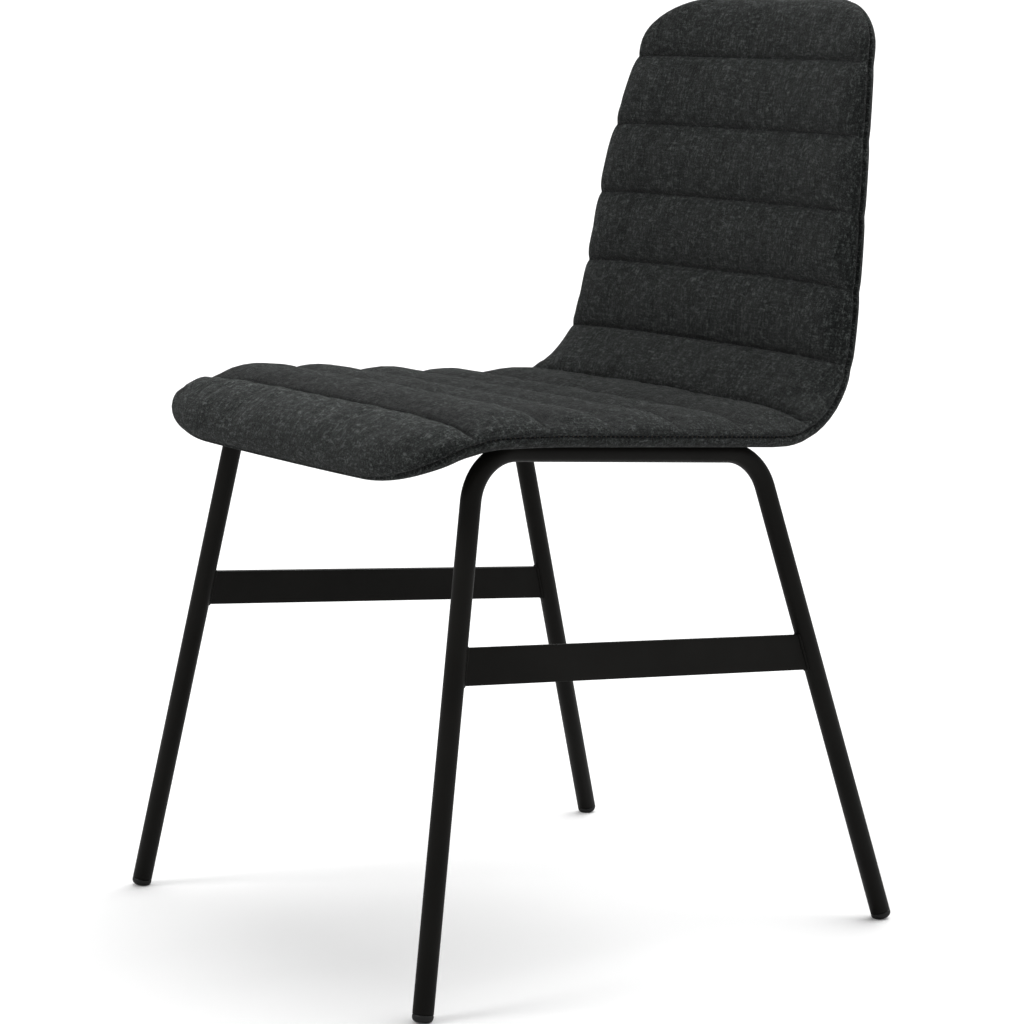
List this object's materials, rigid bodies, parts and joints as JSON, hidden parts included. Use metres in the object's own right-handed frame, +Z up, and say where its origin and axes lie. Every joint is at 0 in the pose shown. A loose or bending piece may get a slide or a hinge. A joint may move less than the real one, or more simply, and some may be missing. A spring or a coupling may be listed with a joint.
{
  "type": "dining chair",
  "caption": "Dining chair with a one-piece upholstered seat and back shell, sewn cross channels, and a black bent-tube steel frame with side stretchers.",
  "frame": {"origin": "on the floor, under the middle of the chair's overall width and depth", "axes": "+Z up, -Y the way the sitter faces, +X the sitter's left"},
  "size_m": [0.4818, 0.5459, 0.7845],
  "materials": {
    "powder_coat": "satin",
    "cover_fabric": "matte",
    "foam": "matte",
    "plywood": "matte",
    "glide_plastic": "satin",
    "spacer_rubber": "matte",
    "zinc_steel": "satin"
  },
  "bodies": {
    "root": {"side_frame_left": "powder_coat", "side_frame_right": "powder_coat", "stretcher_left": "powder_coat", "stretcher_right": "powder_coat", "cross_bar_front": "powder_coat", "cross_bar_rear": "powder_coat", "leg_glide_front_left": "glide_plastic", "leg_glide_front_right": "glide_plastic", "leg_glide_rear_left": "glide_plastic", "leg_glide_rear_right": "glide_plastic", "shell_plywood": "plywood", "foam_pad": "foam", "cover_face": "cover_fabric", "cover_back": "cover_fabric", "seat_bolt_front_left": "zinc_steel", "seat_bolt_front_right": "zinc_steel", "seat_bolt_rear_left": "zinc_steel", "seat_bolt_rear_right": "zinc_steel", "bolt_washer_front_left": "zinc_steel", "bolt_washer_front_right": "zinc_steel", "bolt_washer_rear_left": "zinc_steel", "bolt_washer_rear_right": "zinc_steel", "t_nut_front_left": "zinc_steel", "t_nut_front_right": "zinc_steel", "t_nut_rear_left": "zinc_steel", "t_nut_rear_right": "zinc_steel", "spacer_pad_front_left": "spacer_rubber", "spacer_pad_front_right": "spacer_rubber", "spacer_pad_rear_left": "spacer_rubber", "spacer_pad_rear_right": "spacer_rubber"}
  },
  "joints": []
}
